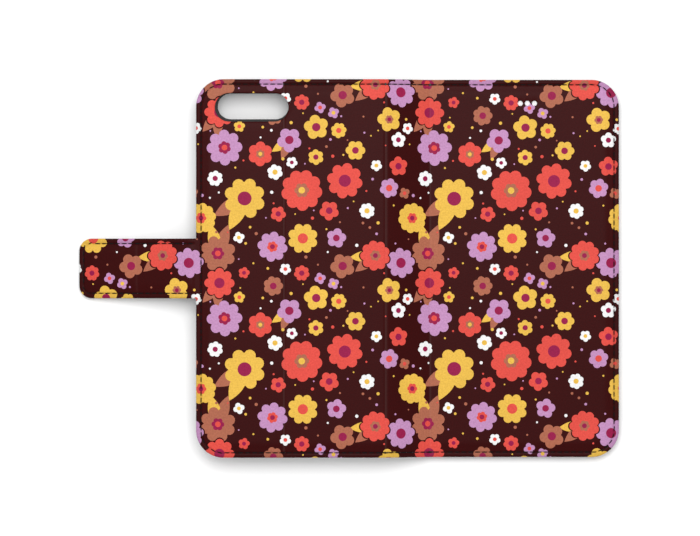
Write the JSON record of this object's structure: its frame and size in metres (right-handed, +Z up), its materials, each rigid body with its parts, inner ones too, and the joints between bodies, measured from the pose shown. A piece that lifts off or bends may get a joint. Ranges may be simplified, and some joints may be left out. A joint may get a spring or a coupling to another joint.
{
  "type": "wallet phone case",
  "caption": "Folding wallet phone case in printed leatherette, opened flat, with a moulded phone tray, card pockets, a closing strap and a camera window.",
  "frame": {"origin": "bottom centre of the opened case's bounding box", "axes": "+X from the closing strap to the front cover, +Y to the camera end, +Z up out of the printed face"},
  "size_m": [0.2366, 0.165, 0.0133],
  "materials": {
    "printed_leather": "satin",
    "lining_leather": "matte",
    "greyboard": "matte",
    "stiffener": "matte",
    "thread": "matte",
    "tray_rubber": "satin",
    "screen_mesh": "matte",
    "adhesive": "matte",
    "magnet_steel": "satin"
  },
  "bodies": {
    "back_outer": {"back_outer_skin": "printed_leather", "back_outer_board": "greyboard", "back_outer_lining": "lining_leather", "back_outer_thread": "thread", "strap_anchor_tab": "stiffener", "stand_fold_web": "printed_leather", "stand_fold_web_top": "printed_leather", "strap_fold_web": "printed_leather", "phone_tray": "tray_rubber", "tray_adhesive_pad": "adhesive"},
    "back_inner": {"back_inner_skin": "printed_leather", "back_inner_board": "greyboard", "back_inner_lining": "lining_leather", "back_inner_thread_top": "thread", "back_inner_thread_bottom": "thread", "spine_back_fold_web": "printed_leather"},
    "spine": {"spine_skin": "printed_leather", "spine_lining": "lining_leather", "spine_thread_top": "thread", "spine_thread_bottom": "thread", "spine_front_fold_web": "printed_leather"},
    "cover": {"cover_skin": "printed_leather", "cover_board": "greyboard", "cover_lining": "lining_leather", "cover_thread": "thread", "cover_steel_plate": "magnet_steel", "earpiece_screen": "screen_mesh", "cash_pocket": "lining_leather", "card_pocket_1": "lining_leather", "card_pocket_2": "lining_leather", "card_pocket_3": "lining_leather"},
    "strap_root": {"strap_root_skin": "printed_leather", "strap_root_core": "stiffener", "strap_root_lining": "lining_leather", "strap_root_thread_top": "thread", "strap_root_thread_bottom": "thread", "strap_tip_fold_web": "printed_leather"},
    "strap_tip": {"strap_tip_skin": "printed_leather", "strap_tip_core": "stiffener", "strap_tip_lining": "lining_leather", "strap_magnet": "magnet_steel", "strap_tip_thread": "thread"}
  },
  "joints": [
    {"name": "stand_fold", "type": "hinge", "parent": "back_outer", "child": "back_inner", "pos_m": [-0.02818, 0, 0.01335], "axis": [0, 1, 0], "range_deg": [-45, 0], "deforming": ["stand_fold_web", "stand_fold_web_top"]},
    {"name": "spine_back_fold", "type": "hinge", "parent": "back_inner", "child": "spine", "pos_m": [0.01622, 0, 0.01335], "axis": [0, 1, 0], "range_deg": [-112.2, 67.75], "deforming": ["spine_back_fold_web"]},
    {"name": "spine_front_fold", "type": "hinge", "parent": "spine", "child": "cover", "pos_m": [0.03566, 0, 0.0054], "axis": [0, 1, 0], "range_deg": [-22.75, 112.2], "deforming": ["spine_front_fold_web"]},
    {"name": "strap_fold", "type": "hinge", "parent": "back_outer", "child": "strap_root", "pos_m": [-0.06928, 0, 0.01335], "axis": [0, -1, 0], "range_deg": [-57.65, 77.3], "deforming": ["strap_fold_web"]},
    {"name": "strap_tip_fold", "type": "hinge", "parent": "strap_root", "child": "strap_tip", "pos_m": [-0.0925, 0, 0.00813], "axis": [0, -1, 0], "range_deg": [0, 90], "deforming": ["strap_tip_fold_web"]}
  ]
}
